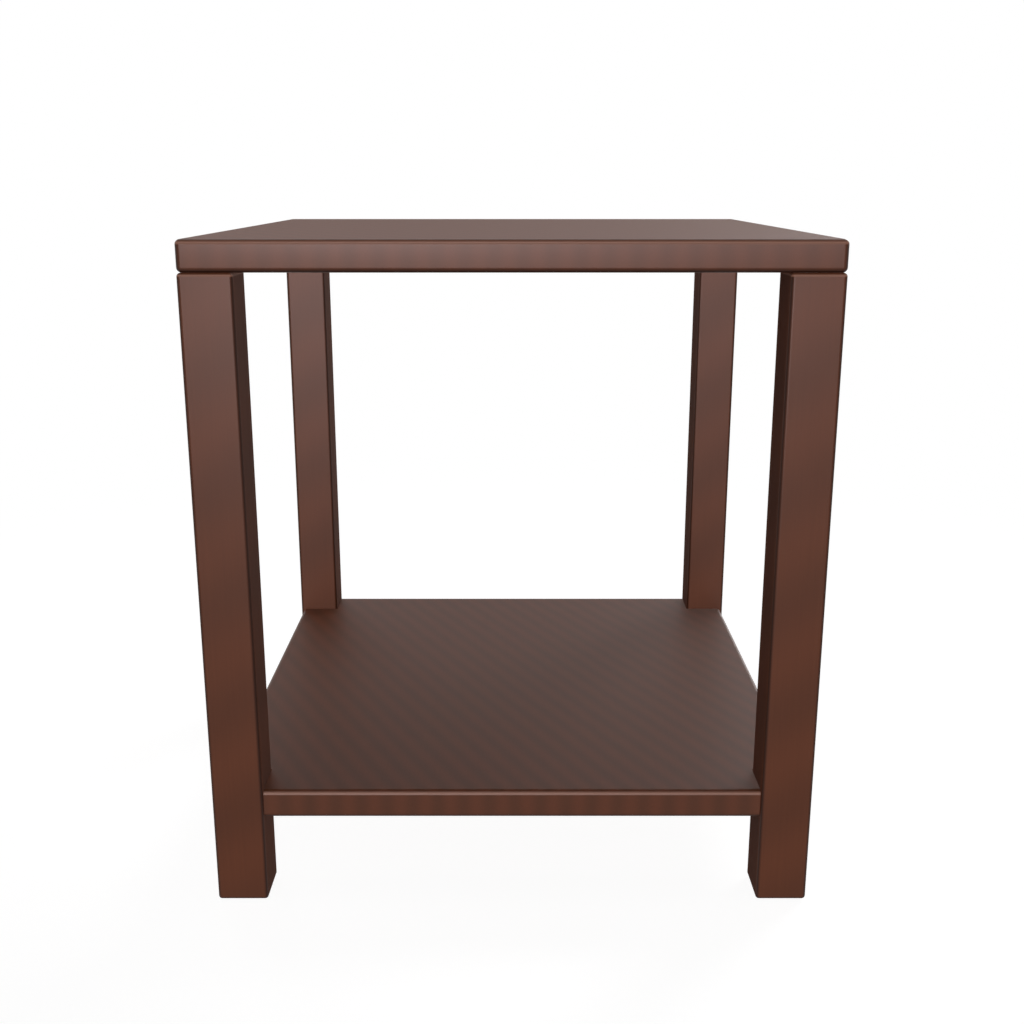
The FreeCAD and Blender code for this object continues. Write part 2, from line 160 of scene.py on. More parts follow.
@dataclass(frozen=True)
class StainedWood:
    """Hardwood under a dark red-brown wiping stain and a thin satin lacquer, with sizes in millimetres.

    The eye gets a broad ribbon figure from the way the stain takes, a fine straight grain over it, and a
    soft sheen that greys the colour where a surface is seen at a flat angle. A level is how far a surface
    looks up: a side has none, and an upper face has a level of one.
    """

    name: str
    figure: Figure
    band_period: float
    band_phase: float
    band_waver: float
    grain_stretch: tuple[float, float, float]
    bright_stain: str
    deep_stain: str
    roughness: float
    edge_on_roughness: float
    edge_on_range: tuple[float, float]
    face_shift: float = 0.0
    face_levels: tuple[float, float] = (0.6, 0.8)
    waver_scale: float = 1.2
    clouds_per_band: float = 0.8
    cloud_share: float = 0.35
    grain_width: float = 1.4
    grain_depth: float = 0.05
    relief_height: float = 0.05
    relief_strength: float = 0.08
    mirror_index: float = 1.27
    mirror_tint: str = "#FFE9E7"
    sprayed_heights: tuple[float, float] = (0.0, 1.0)
    overspray: float = 0.0
    # Painted shade on the rounded edges: its colour, the tilt at which it is full, and its shares by level.
    painted_shade_edge: str = "#1E0D06"
    painted_shade_tilt: float = 45.0
    painted_shade_levels: tuple[float, float] = (0.0, 0.2)
    painted_shade_shares: tuple[float, float] = (1.0, 0.25)
    # Painted highlight along the upper rounded edges: its colour, and the levels over which it rises and falls.
    painted_highlight_edge: str = "#735245"
    painted_highlight_rise: tuple[float, float] = (0.0, 0.33)
    painted_highlight_fall: tuple[float, float] = (0.8, 0.35)

    def paint_edge_shade_and_highlight(self, tree: bpy.types.NodeTree, stain: bpy.types.NodeSocket) -> bpy.types.NodeSocket:
        """Paints shade on the rounded-over edges, darkest where they look sideways or down, and a pale
        highlight along the upper ones.

        Args:
            tree: the node tree that gets the nodes.
            stain: an output of the colour of the flats.

        Returns:
            An output of that colour, with the painted shade and the painted highlight of the edges in it.
        """
        normal = add_node(tree, "TexCoord").outputs["Normal"]
        sides = add_node(tree, "VectorMath", {"operation": "ABSOLUTE"}, {0: normal})
        parts = add_node(tree, "SeparateXYZ", links={0: sides.outputs["Vector"]})
        largest = parts.outputs["X"]
        for other in (parts.outputs["Y"], parts.outputs["Z"]):
            larger = add_node(tree, "Math", {"operation": "MAXIMUM"}, {0: largest, 1: other})
            largest = larger.outputs[0]
        tilt = add_node(tree, "Math", {"operation": "ARCCOSINE"}, {0: largest})
        level = add_node(tree, "SeparateXYZ", links={0: normal}).outputs["Z"]
        # Painted shade: the rounded edges darken towards their middle, fully where they look sideways or down
        # and a quarter as much on upper edges.
        most = add_node(
            tree,
            "MapRange",
            {
                "From Min": self.painted_shade_levels[0],
                "From Max": self.painted_shade_levels[1],
                "To Min": self.painted_shade_shares[0],
                "To Max": self.painted_shade_shares[1],
            },
            {"Value": level},
        )
        painted_shade_share = add_node(
            tree,
            "MapRange",
            {"From Min": 0.0, "From Max": math.radians(self.painted_shade_tilt)},
            {"Value": tilt.outputs[0], "To Max": most.outputs["Result"]},
        )
        painted_shade = add_node(
            tree,
            "Mix",
            {"data_type": "RGBA", 7: linear(self.painted_shade_edge)},
            {0: painted_shade_share.outputs["Result"], 6: stain},
        )
        # Painted highlight: a pale line along the upper rounded edges, strongest where an edge is about to
        # turn into the side. It rises and falls again between the side and the upper face.
        rise_from, rise_to = self.painted_highlight_rise
        fall_from, fall_to = self.painted_highlight_fall
        rise = add_node(tree, "MapRange", {"From Min": rise_from, "From Max": rise_to}, {"Value": level})
        fall = add_node(tree, "MapRange", {"From Min": fall_from, "From Max": fall_to}, {"Value": level})
        painted_highlight_share = add_node(
            tree, "Math", {"operation": "MULTIPLY"}, {0: rise.outputs["Result"], 1: fall.outputs["Result"]}
        )
        painted_highlight = add_node(
            tree,
            "Mix",
            {"data_type": "RGBA", 7: linear(self.painted_highlight_edge)},
            {0: painted_highlight_share.outputs[0], 6: painted_shade.outputs[2]},
        )
        return painted_highlight.outputs[2]

    def stain_flats(
        self, tree: bpy.types.NodeTree, in_mm: bpy.types.NodeSocket, grain: bpy.types.NodeSocket
    ) -> bpy.types.NodeSocket:
        """Colours the flats: the stain's broad figure, with the fine grain over it.

        Args:
            tree: the node tree that gets the nodes.
            in_mm: an output of the piece's own coordinates in millimetres.
            grain: an output of the grain.

        Returns:
            An output of the colour.
        """
        turned = add_node(
            tree,
            "Mapping",
            {"Rotation": Euler([math.radians(turn) for turn in self.figure.value])},
            {"Vector": in_mm},
        )
        # A board's faces and its edges are sawn from different depths, so the ribbon sits further along on
        # its faces.
        normal = add_node(tree, "TexCoord").outputs["Normal"]
        level = add_node(tree, "SeparateXYZ", links={0: normal}).outputs["Z"]
        phase = add_node(
            tree,
            "MapRange",
            {
                "From Min": self.face_levels[0],
                "From Max": self.face_levels[1],
                "To Min": self.band_phase,
                "To Max": self.band_phase + self.face_shift,
            },
            {"Value": level},
        )
        bands = add_node(
            tree,
            "TexWave",
            {
                "wave_type": "BANDS",
                "bands_direction": "X",
                "Scale": BAND_CYCLE / self.band_period,
                "Distortion": self.band_waver,
                "Detail": 1.0,
                "Detail Scale": self.waver_scale,
            },
            {"Vector": turned.outputs["Vector"], "Phase Offset": phase.outputs["Result"]},
        )
        clouds = add_node(
            tree,
            "TexNoise",
            {"Scale": self.clouds_per_band / self.band_period, "Detail": 2.0, "Roughness": 0.5},
            {"Vector": turned.outputs["Vector"]},
        )
        broad = add_node(
            tree,
            "Mix",
            {"data_type": "FLOAT", 0: self.cloud_share},
            {2: bands.outputs["Fac"], 3: clouds.outputs["Fac"]},
        )
        colour = add_node(
            tree,
            "Mix",
            {"data_type": "RGBA", 6: linear(self.deep_stain), 7: linear(self.bright_stain)},
            {0: broad.outputs[0]},
        )
        grain_tone = add_node(
            tree,
            "MapRange",
            {
                "From Min": NOISE_RANGE[0],
                "From Max": NOISE_RANGE[1],
                "To Min": 1 - self.grain_depth,
                "To Max": 1 + self.grain_depth,
            },
            {"Value": grain},
        )
        grained = add_node(
            tree,
            "VectorMath",
            {"operation": "SCALE"},
            {0: colour.outputs[2], "Scale": grain_tone.outputs["Result"]},
        )
        return grained.outputs["Vector"]

    def spray_lacquer(self, tree: bpy.types.NodeTree, in_mm: bpy.types.NodeSocket) -> bpy.types.NodeSocket:
        """Sets how rough the lacquer is. Its sheen is wider where it is seen at a flat angle.

        Args:
            tree: the node tree that gets the nodes.
            in_mm: an output of the piece's own coordinates in millimetres.

        Returns:
            An output of the roughness.
        """
        # It is sprayed from above, so it lies smoother towards the upper edge and drier towards the lower.
        height = add_node(tree, "SeparateXYZ", links={0: in_mm})
        sprayed = add_node(
            tree,
            "MapRange",
            {
                "From Min": self.sprayed_heights[0],
                "From Max": self.sprayed_heights[1],
                "To Min": self.roughness + self.overspray,
                "To Max": self.roughness,
            },
            {"Value": height.outputs["Z"]},
        )
        facing = add_node(tree, "LayerWeight", {"Blend": 0.5})
        satin = add_node(
            tree,
            "MapRange",
            {
                "From Min": self.edge_on_range[0],
                "From Max": self.edge_on_range[1],
                "To Max": self.edge_on_roughness,
            },
            {"Value": facing.outputs["Facing"], "To Min": sprayed.outputs["Result"]},
        )
        return satin.outputs["Result"]

    def material(self) -> bpy.types.Material:
        """Builds the material.

        Returns:
            The finished material.
        """
        material, tree, in_mm = new_tree(self.name)
        # Real pores are a fifth of a millimetre wide. The grain is drawn coarser, so that it shows.
        along = add_node(tree, "Mapping", {"Scale": self.grain_stretch}, {"Vector": in_mm})
        grain = add_node(
            tree,
            "TexNoise",
            {"Scale": 1 / self.grain_width, "Detail": 3.0, "Roughness": 0.6},
            {"Vector": along.outputs["Vector"]},
        ).outputs["Fac"]
        relief = add_node(
            tree,
            "Bump",
            {"Strength": self.relief_strength, "Distance": self.relief_height * MM},
            {"Height": grain},
        )
        surface = add_node(
            tree,
            "BsdfPrincipled",
            {"IOR": self.mirror_index, "Specular Tint": linear(self.mirror_tint)},
            {
                "Base Color": self.paint_edge_shade_and_highlight(tree, self.stain_flats(tree, in_mm, grain)),
                "Roughness": self.spray_lacquer(tree, in_mm),
                "Normal": relief.outputs["Normal"],
            },
        )
        add_node(tree, "OutputMaterial", links={"Surface": surface.outputs["BSDF"]})
        return material


@dataclass(frozen=True)
class Metal:
    """Bright zinc plating, barrel plated, on small steel fasteners.

    The eye gets a cool grey metal with a faint mottle from the passivation bath.
    """

    name: str = "barrel_zinc_plated_steel"
    bright: str = "#C6C9CC"
    dull: str = "#A9ACAD"
    roughness: float = 0.34
    mottle_size: float = 1.5
    mottle_gloss: float = 0.06

    def material(self) -> bpy.types.Material:
        """Builds the material.

        Returns:
            The finished material.
        """
        material, tree, in_mm = new_tree(self.name)
        mottle = add_node(
            tree,
            "TexNoise",
            {"Scale": 1 / self.mottle_size, "Detail": 3.0, "Roughness": 0.6},
            {"Vector": in_mm},
        )
        colour = add_node(
            tree,
            "Mix",
            {"data_type": "RGBA", 6: linear(self.dull), 7: linear(self.bright)},
            {0: mottle.outputs["Fac"]},
        )
        gloss = add_node(
            tree,
            "MapRange",
            {"To Min": self.roughness - self.mottle_gloss, "To Max": self.roughness + self.mottle_gloss},
            {"Value": mottle.outputs["Fac"]},
        )
        surface = add_node(
            tree,
            "BsdfPrincipled",
            {"Metallic": 1.0},
            {"Base Color": colour.outputs[2], "Roughness": gloss.outputs["Result"]},
        )
        add_node(tree, "OutputMaterial", links={"Surface": surface.outputs["BSDF"]})
        return material


@dataclass(frozen=True)
class Coat:
    """A coloured coat or moulded plastic with a fine pebbled surface.

    The eye gets an even matt colour, broken by a pebble that catches small soft highlights.
    """

    name: str
    colour: str
    worn: str
    roughness: float
    pebble_size: float
    pebble_height: float
    pebble_strength: float = 0.5
    mirror_index: float = 1.5

    def material(self) -> bpy.types.Material:
        """Builds the material.

        Returns:
            The finished material.
        """
        material, tree, in_mm = new_tree(self.name)
        pebble = add_node(
            tree,
            "TexNoise",
            {"Scale": 1 / self.pebble_size, "Detail": 2.0, "Roughness": 0.5},
            {"Vector": in_mm},
        )
        colour = add_node(
            tree,
            "Mix",
            {"data_type": "RGBA", 6: linear(self.colour), 7: linear(self.worn)},
            {0: pebble.outputs["Fac"]},
        )
        relief = add_node(
            tree,
            "Bump",
            {"Strength": self.pebble_strength, "Distance": self.pebble_height * MM},
            {"Height": pebble.outputs["Fac"]},
        )
        surface = add_node(
            tree,
            "BsdfPrincipled",
            {"Roughness": self.roughness, "IOR": self.mirror_index},
            {"Base Color": colour.outputs[2], "Normal": relief.outputs["Normal"]},
        )
        add_node(tree, "OutputMaterial", links={"Surface": surface.outputs["BSDF"]})
        return material


@dataclass
class Finishes:
    """Every finish of the table, built once."""

    top: bpy.types.Material = field(init=False)
    shelf: bpy.types.Material = field(init=False)
    post: bpy.types.Material = field(init=False)
    zinc: bpy.types.Material = field(init=False)
    powder: bpy.types.Material = field(init=False)
    nylon: bpy.types.Material = field(init=False)

    def __post_init__(self) -> None:
        """Builds the materials."""
        underside, upper_face = (corner[2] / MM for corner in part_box("top_panel"))
        top = StainedWood(
            name="dark_stained_hardwood_top",
            figure=Figure.DIAGONAL_RIBBON,
            band_period=19.1,
            band_phase=-0.21,
            band_waver=0.3,
            grain_stretch=(1.0, 0.02, 1.0),
            face_shift=-2.6,
            mirror_index=1.285,
            bright_stain="#4E2816",
            deep_stain="#432212",
            roughness=0.30,
            edge_on_roughness=0.72,
            edge_on_range=(0.8, 1.0),
            sprayed_heights=(underside, upper_face),
            overspray=0.12,
        )
        self.top = top.material()
        self.shelf = replace(
            top,
            name="dark_stained_hardwood_shelf",
            band_phase=0.95,
            mirror_index=1.30,
            bright_stain="#4B2615",
            deep_stain="#3D2010",
            roughness=0.34,
            edge_on_roughness=0.54,
            edge_on_range=(0.15, 0.45),
            overspray=0.0,
        ).material()
        self.post = StainedWood(
            name="dark_stained_hardwood_post",
            figure=Figure.LEANING_CLOUDS,
            band_period=80.0,
            band_phase=-2.83,
            band_waver=0.6,
            grain_stretch=(1.0, 1.0, 0.02),
            bright_stain="#4E2816",
            deep_stain="#432212",
            roughness=0.34,
            edge_on_roughness=1.0,
            edge_on_range=(0.3, 0.85),
        ).material()
        self.zinc = Metal().material()
        self.powder = Coat(
            name="black_powder_coat",
            colour="#161617",
            worn="#242425",
            roughness=0.5,
            pebble_size=0.6,
            pebble_height=0.04,
        ).material()
        self.nylon = Coat(
            name="moulded_brown_nylon",
            colour="#2A1C15",
            worn="#35251C",
            roughness=0.55,
            pebble_size=0.4,
            pebble_height=0.02,
        ).material()


def dress(node: str, material: bpy.types.Material) -> None:
    """Gives a node of the frame its finish.

    Args:
        node: the node's name.
        material: its finish.
    """
    for material_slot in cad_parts[node].material_slots:
        material_slot.material = material
    LOG.info("dressed %s in %s", node, material.name)


def arc(centre: tuple[float, float], radius: float, start: float, end: float, steps: int = 8) -> Outline:
    """Works out the points of an arc.

    Args:
        centre: its centre, across and up.
        radius: its radius.
        start: the angle of its first point in degrees, from the across direction towards up.
        end: the angle of its last point.
        steps: how many chords it has.

    Returns:
        The points, across and up.
    """
    turns = [math.radians(start + (end - start) * step / steps) for step in range(steps + 1)]
    return [(centre[0] + radius * math.cos(turn), centre[1] + radius * math.sin(turn)) for turn in turns]


def draw(
    shape: bmesh.types.BMesh, outline: Outline, closed: bool
) -> list[bmesh.types.BMVert | bmesh.types.BMEdge]:
    """Draws an outline in the XZ plane.

    Args:
        shape: the shape that gets it.
        outline: its points, across and up.
        closed: whether the last point joins the first.

    Returns:
        The new vertices and edges.
    """
    points = [shape.verts.new((across, 0, up)) for across, up in outline]
    following = points[1:] + points[:1] if closed else points[1:]
    return points + [shape.edges.new(pair) for pair in zip(points, following)]


def lathe(outline: Outline, closed: bool = False, steps: int = 40) -> bmesh.types.BMesh:
    """Turns an outline all the way round the upright axis.

    Args:
        outline: points of radius and height in millimetres. An open one starts and ends on the axis.
        closed: whether the outline is a closed one, as of a ring.
        steps: how many sides the turned shape has.

    Returns:
        A closed shape.
    """
    shape = bmesh.new()
    bmesh.ops.spin(
        shape,
        geom=draw(shape, outline, closed),
        cent=(0, 0, 0),
        axis=(0, 0, 1),
        angle=math.tau,
        steps=steps,
        use_merge=True,
    )
    bmesh.ops.remove_doubles(shape, verts=shape.verts, dist=WELD_DISTANCE)
    bmesh.ops.recalc_face_normals(shape, faces=shape.faces)
    return shape


def add_shape(shape: bmesh.types.BMesh, other: bmesh.types.BMesh, move: Matrix | None = None) -> None:
    """Adds a copy of one shape to another.

    Args:
        shape: the shape that grows.
        other: the shape that is copied.
        move: where the copy goes.
    """
    mesh = bpy.data.meshes.new("part")
    other.to_mesh(mesh)
    if move is not None:
        mesh.transform(move)
    shape.from_mesh(mesh)
    bpy.data.meshes.remove(mesh)


def carve(shape: bmesh.types.BMesh, cutters: Sequence[bmesh.types.BMesh]) -> bmesh.types.BMesh:
    """Cuts closed shapes out of another, and frees them all.

    Args:
        shape: the shape to carve.
        cutters: the shapes to take away.

    Returns:
        What is left.
    """
    blanks = []
    for part in (shape, *cutters):
        mesh = bpy.data.meshes.new("blank")
        part.to_mesh(mesh)
        part.free()
        blanks.append(bpy.data.objects.new("blank", mesh))
        bpy.context.scene.collection.objects.link(blanks[-1])
    for cutter in blanks[1:]:
        bite = blanks[0].modifiers.new("bite", "BOOLEAN")
        bite.operation = "DIFFERENCE"
        bite.solver = "EXACT"
        bite.object = cutter
    graph = bpy.context.evaluated_depsgraph_get()
    mesh = bpy.data.meshes.new_from_object(blanks[0].evaluated_get(graph))
    carved = bmesh.new()
    carved.from_mesh(mesh)
    for blank in blanks:
        bpy.data.meshes.remove(blank.data)
    bpy.data.meshes.remove(mesh)
    return carved


@dataclass(frozen=True)
class Thread:
    """A helical ridge on a round core, in millimetres. It fades into the core at both ends.

    Its root lies at a share of the core's radius, a little inside the core.
    """

    core_radius: float
    crest_radius: float
    pitch: float
    start: float
    end: float
    flank_width: float
    point_from: float | None = None
    point_to: float = 0.0
    root_share: float = 0.97
    steps_per_turn: int = 20

    def wind_on(self, shape: bmesh.types.BMesh) -> None:
        """Winds the ridge on an upright core. Along a pointed end it narrows with the point.

        Args:
            shape: the core.
        """
        root = self.core_radius * self.root_share
        half = self.flank_width / 2
        turns = abs(self.end - self.start) / self.pitch
        steps = round(turns * self.steps_per_turn)
        ridge = [(root, self.start - half), (self.crest_radius, self.start), (root, self.start + half)]
        thread = bmesh.new()
        first = draw(thread, ridge, closed=True)
        wound = bmesh.ops.spin(
            thread,
            geom=first,
            cent=(0, 0, 0),
            axis=(0, 0, 1),
            dvec=(0, 0, (self.end - self.start) / steps),
            angle=math.tau * turns,
            steps=steps,
        )
        for run in (first, wound["geom_last"]):
            loop = [item for item in run if isinstance(item, bmesh.types.BMVert)]
            middle = sum((point.co for point in loop), Vector()) / len(loop)
            faded = middle.copy()
            faded.xy = middle.xy.normalized() * root
            bmesh.ops.pointmerge(thread, verts=loop, merge_co=faded)
        if self.point_from is not None:
            for point in thread.verts:
                left = (self.point_to - point.co.z) / (self.point_to - self.point_from)
                point.co.xy *= max(0.0, min(1.0, left))
        bmesh.ops.recalc_face_normals(thread, faces=thread.faces)
        add_shape(shape, thread)
        thread.free()


def cross_recess(face: float, reach: float, width: float, depth: float) -> list[bmesh.types.BMesh]:
    """Makes the two crossed wedges that cut a screw's cross recess.

    Args:
        face: the height of the head's face, which looks down.
        reach: how far across the head each wedge goes.
        width: how wide the slots are.
        depth: how deep they are.

    Returns:
        The two wedges.
    """
    wedges = []
    for turn in (0, 90):
        wedge = bmesh.new()
        bmesh.ops.create_cube(wedge, size=1)
        inner = [point for point in wedge.verts if point.co.z > 0]
        bmesh.ops.scale(wedge, vec=CROSS_TAPER, verts=inner)
        bmesh.ops.scale(wedge, vec=(reach, width, depth * 2), verts=wedge.verts)
        bmesh.ops.rotate(wedge, matrix=Matrix.Rotation(math.radians(turn), 3, "Z"), verts=wedge.verts)
        bmesh.ops.translate(wedge, vec=(0, 0, face), verts=wedge.verts)
        wedges.append(wedge)
    return wedges


def hexagon_recess(face: float, across_flats: float, depth: float) -> bmesh.types.BMesh:
    """Makes the prism that cuts a hexagon recess into an end that looks up.

    Args:
        face: the height of that end.
        across_flats: the recess's width across its flats.
        depth: how deep it is.

    Returns:
        The prism.
    """
    prism = bmesh.new()
    corner_radius = across_flats / math.sqrt(3)
    bmesh.ops.create_cone(
        prism, cap_ends=True, segments=6, radius1=corner_radius, radius2=corner_radius, depth=depth * 2
    )
    bmesh.ops.translate(prism, vec=(0, 0, face), verts=prism.verts)
    return prism


def finish_piece(
    shape: bmesh.types.BMesh,
    name: str,
    node: str,
    material: bpy.types.Material,
    place: Matrix,
    crease: float = 35.0,
) -> None:
    """Makes the finished object of a shape, in place of a node of the frame.

    Args:
        shape: the shape in millimetres, which is freed.
        name: the object's name.
        node: the node that it stands for.
        material: its finish.
        place: where the shape's own origin goes, in metres.
        crease: edges that turn by more than this many degrees stay sharp.
    """
    mesh = bpy.data.meshes.new(name)
    shape.to_mesh(mesh)
    shape.free()
    mesh.transform(place @ Matrix.Scale(MM, 4))
    mesh.shade_smooth()
    mesh.set_sharp_from_angle(angle=math.radians(crease))
    mesh.materials.append(material)
    piece = bpy.data.objects.new(name, mesh)
    bpy.context.scene.collection.objects.link(piece)
    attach(piece, BODY)
    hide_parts(node)
    LOG.info("made %s, %d faces", name, len(mesh.polygons))


def middle_of(node: str) -> Vector:
    """Finds the middle of a node's box, in metres."""
    low, high = (Vector(corner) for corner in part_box(node))
    return (low + high) / 2


@dataclass
class Boards:
    """The top and the shelf."""

    def build(self, finishes: Finishes) -> None:
        """Dresses both boards."""
        dress("top_panel", finishes.top)
        dress("shelf_panel", finishes.shelf)


@dataclass
class Post:
    """One square post and its foot: a moulded nylon glide on a countersunk screw."""

    corner: Corner
    glide_radius: float = 11.0
    glide_height: float = 5.0
    rim_radius: float = 2.1
    top_chamfer: float = 0.4
    hole_radius: float = 1.4
    sink_radius: float = 3.4
    sink_from: float = 0.8
    sink_to: float = 2.8
    screw_head_radius: float = 3.3
    screw_head_height: float = 2.0
    screw_edge_inset: float = 0.15
    screw_edge_height: float = 0.2
    screw_core_radius: float = 1.3
    screw_thread_radius: float = 1.9
    screw_length: float = 18.0
    screw_point: float = 3.0
    screw_pitch: float = 1.6
    screw_flank: float = 0.8
    recess_reach: float = 3.6
    recess_width: float = 0.9
    recess_depth: float = 1.5

    def mould_glide(self) -> bmesh.types.BMesh:
        """Makes the glide: a round pad with a full soft rim and a countersunk hole.

        Returns:
            The shape, with its lower face at height zero.
        """
        rim = arc((self.glide_radius - self.rim_radius, self.rim_radius), self.rim_radius, -90, 0)
        outline = [
            (self.sink_radius, 0),
            *rim,
            (self.glide_radius, self.glide_height - self.top_chamfer),
            (self.glide_radius - self.top_chamfer, self.glide_height),
            (self.hole_radius, self.glide_height),
            (self.hole_radius, self.sink_to),
            (self.sink_radius, self.sink_from),
        ]
        return lathe(outline, closed=True, steps=64)

    def turn_screw(self) -> bmesh.types.BMesh:
        """Makes the countersunk screw, pointing up from the flat of its head at height zero.

        Returns:
            The shape.
        """
        shank_end = self.screw_length - self.screw_point
        outline = [
            (0, 0),
            (self.screw_head_radius - self.screw_edge_inset, 0),
            (self.screw_head_radius, self.screw_edge_height),
            (self.screw_core_radius, self.screw_head_height),
            (self.screw_core_radius, shank_end),
            (0, self.screw_length),
        ]
        recess = cross_recess(0, self.recess_reach, self.recess_width, self.recess_depth)
        screw = carve(lathe(outline), recess)
        Thread(
            core_radius=self.screw_core_radius,
            crest_radius=self.screw_thread_radius,
            pitch=self.screw_pitch,
            start=self.screw_head_height + self.screw_pitch,
            end=self.screw_length - self.screw_pitch / 2,
            flank_width=self.screw_flank,
            point_from=shank_end,
            point_to=self.screw_length,
        ).wind_on(screw)
        return screw

    def build(self, finishes: Finishes) -> None:
        """Dresses the post and makes its foot.

        Args:
            finishes: every finish.
        """
        dress(self.corner.node("leg"), finishes.post)
        glide = self.corner.node("glide")
        foot = middle_of(glide)
        foot.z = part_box(glide)[0][2]
        place = Matrix.Translation(foot)
        finish_piece(self.mould_glide(), f"{glide}_pad", glide, finishes.nylon, place)
        screw = self.corner.node("glide_screw")
        seat = middle_of(screw)
        seat.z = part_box(screw)[0][2]
        place = Matrix.Translation(seat)
        finish_piece(self.turn_screw(), f"{screw}_cut", screw, finishes.zinc, place)


@dataclass
class TopFixing:
    """The hanger bolt and the threaded insert that hold the top on one post."""

    corner: Corner
    machine_core_radius: float = 3.3
    machine_crest_radius: float = 4.0
    machine_length: float = 16.0
    machine_chamfer: float = 0.3
    machine_pitch: float = 1.25
    machine_flank_share: float = 0.9
    machine_runout_share: float = 0.8
    collar_radius: float = 4.0
    collar_length: float = 5.0
    collar_slope: float = 0.5
    collar_drop: float = 0.3
    collar_rise: float = 0.4
    wood_core_radius: float = 3.0
    wood_crest_radius: float = 4.0
    wood_length: float = 42.0
    wood_pitch: float = 3.0
    wood_flank: float = 1.2
    point_length: float = 6.0
    drive_width: float = 4.0
    drive_depth: float = 5.0
    insert_radius: float = 6.0
    insert_crest_radius: float = 7.0
    insert_length: float = 13.0
    insert_pitch: float = 3.5
    insert_flank: float = 1.4

    def turn_bolt(self) -> bmesh.types.BMesh:
        """Makes the hanger bolt, with its machine end up and the joint's level at height zero.

        Returns:
            The shape.
        """
        point_to = -self.collar_length - self.wood_length
        point_from = point_to + self.point_length
        outline = [
            (0, point_to),
            (self.wood_core_radius, point_from),
            (self.wood_core_radius, -self.collar_length - self.collar_slope),
            (self.collar_radius, -self.collar_length + self.collar_slope),
            (self.collar_radius, -self.collar_drop),
            (self.machine_core_radius, self.collar_rise),
            (self.machine_core_radius, self.machine_length - self.machine_chamfer),
            (self.machine_core_radius - self.machine_chamfer, self.machine_length),
            (0, self.machine_length),
        ]
        hexagon = hexagon_recess(self.machine_length, self.drive_width, self.drive_depth)
        bolt = carve(lathe(outline), [hexagon])
        Thread(
            core_radius=self.machine_core_radius,
            crest_radius=self.machine_crest_radius,
            pitch=self.machine_pitch,
            start=self.machine_pitch,
            end=self.machine_length - self.machine_pitch * self.machine_runout_share,
            flank_width=self.machine_pitch * self.machine_flank_share,
        ).wind_on(bolt)
        Thread(
            core_radius=self.wood_core_radius,
            crest_radius=self.wood_crest_radius,
            pitch=self.wood_pitch,
            start=-self.collar_length - self.wood_pitch / 2,
            end=point_to + self.wood_pitch / 2,
            flank_width=self.wood_flank,
            point_from=point_from,
            point_to=point_to,
        ).wind_on(bolt)
        return bolt

    def thread_insert(self) -> bmesh.types.BMesh:
        """Copies the frame's insert and winds its coarse outer thread on.

        Returns:
            The shape, with its mouth at height zero.
        """
        node = self.corner.node("threaded_insert")
        insert = bmesh.new()
        insert.from_mesh(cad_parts[node].data)
        to_origin = Matrix.Scale(1 / MM, 4) @ Matrix.Translation(-self.joint())
        bmesh.ops.transform(insert, matrix=to_origin, verts=insert.verts)
        bmesh.ops.remove_doubles(insert, verts=insert.verts, dist=WELD_DISTANCE)
        Thread(
            core_radius=self.insert_radius,
            crest_radius=self.insert_crest_radius,
            pitch=self.insert_pitch,
            start=self.insert_pitch / 2,
            end=self.insert_length - self.insert_pitch / 2,
            flank_width=self.insert_flank,
            steps_per_turn=32,
        ).wind_on(insert)
        return insert

    def joint(self) -> Vector:
        """Finds where post and top meet.

        Returns:
            The spot on the bolt's axis, in metres.
        """
        node = self.corner.node("threaded_insert")
        spot = middle_of(node)
        spot.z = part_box(node)[0][2]
        return spot

    def build(self, finishes: Finishes) -> None:
        """Makes the bolt and the insert.

        Args:
            finishes: every finish.
        """
        place = Matrix.Translation(self.joint())
        bolt = self.corner.node("hanger_bolt")
        finish_piece(self.turn_bolt(), f"{bolt}_cut", bolt, finishes.zinc, place)
        insert = self.corner.node("threaded_insert")
        finish_piece(self.thread_insert(), f"{insert}_cut", insert, finishes.zinc, place)


